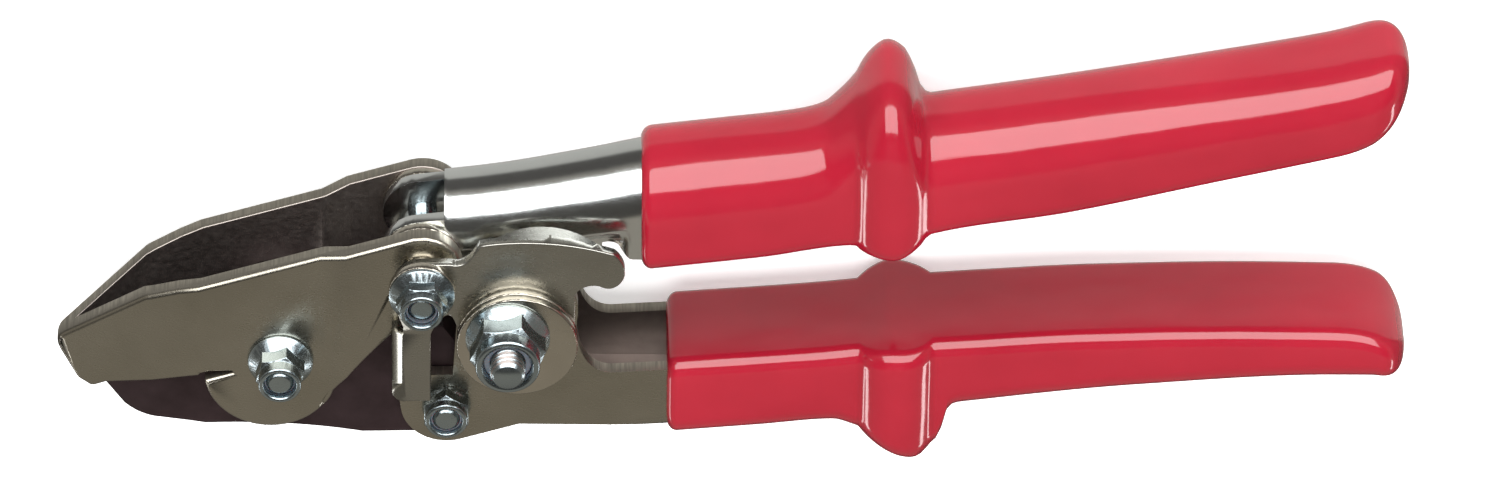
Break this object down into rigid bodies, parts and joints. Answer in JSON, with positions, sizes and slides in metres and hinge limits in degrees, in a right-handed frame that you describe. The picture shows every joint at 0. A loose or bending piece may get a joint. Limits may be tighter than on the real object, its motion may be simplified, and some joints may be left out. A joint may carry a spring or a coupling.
{
  "type": "notching snips",
  "caption": "Compound-action hand notching snips: a V punch closes up into a bow-shaped die housing, worked by two channel handles with dipped grips.",
  "frame": {"origin": "on the resting plane, under the middle of the tool's box", "axes": "+X from the jaws to the handle ends, +Y towards the upper handle, +Z along the pivot axes, towards the nuts"},
  "size_m": [0.2452, 0.0866, 0.0483],
  "materials": {
    "plated_plate": "semi-gloss plated steel",
    "plated_channel": "bright nickel plate",
    "plated_washer": "plated, light turning marks",
    "zinc_fastener": "bright bluish zinc plate",
    "black_oxide": "dark brown-black oxide, satin",
    "red_vinyl": "glossy dipped vinyl",
    "nylon": "matt nylon"
  },
  "bodies": {
    "upper_handle": {"upper_handle": "plated_channel", "upper_grip": "red_vinyl", "side_plate": "plated_plate", "top_bolt": "zinc_fastener", "top_nut": "zinc_fastener", "top_nut_ring": "nylon", "top_thrust_washers": "plated_washer", "top_spacer": "plated_washer", "top_washer": "plated_washer", "main_bolt": "zinc_fastener", "main_nut": "zinc_fastener", "main_nut_ring": "nylon", "inner_disc": "plated_washer", "outer_disc": "plated_washer", "main_spacer": "plated_washer", "main_sleeve": "plated_washer", "main_rear_washer": "plated_washer"},
    "lower_handle": {"lower_handle": "plated_plate", "lower_grip": "red_vinyl", "link_bolt": "zinc_fastener", "link_nut": "zinc_fastener", "link_nut_ring": "nylon"},
    "jaw_housing": {"jaw_housing": "plated_plate", "jaw_bolt": "zinc_fastener", "jaw_nut": "zinc_fastener", "jaw_nut_ring": "nylon"},
    "punch": {"punch": "black_oxide"}
  },
  "joints": [
    {"name": "handle_pivot", "type": "hinge", "parent": "upper_handle", "child": "lower_handle", "pos_m": [-0.04061, -0.0082, 0.0158], "axis": [0, 0, -1], "range_deg": [0, 20]},
    {"name": "jaw_pivot_top", "type": "hinge", "parent": "upper_handle", "child": "jaw_housing", "pos_m": [-0.05601, 0.0002, 0.0158], "axis": [0, 0, -1], "range_deg": [0, 18.9]},
    {"name": "punch_pivot", "type": "hinge", "parent": "jaw_housing", "child": "punch", "pos_m": [-0.08181, -0.0217, 0.0158], "axis": [0, 0, 1], "range_deg": [0, 10.5]}
  ],
  "couplings": [
    {"joint": "jaw_pivot_top", "follows": "handle_pivot", "ratio": 0.9401},
    {"joint": "punch_pivot", "follows": "handle_pivot", "ratio": 0.5217}
  ]
}
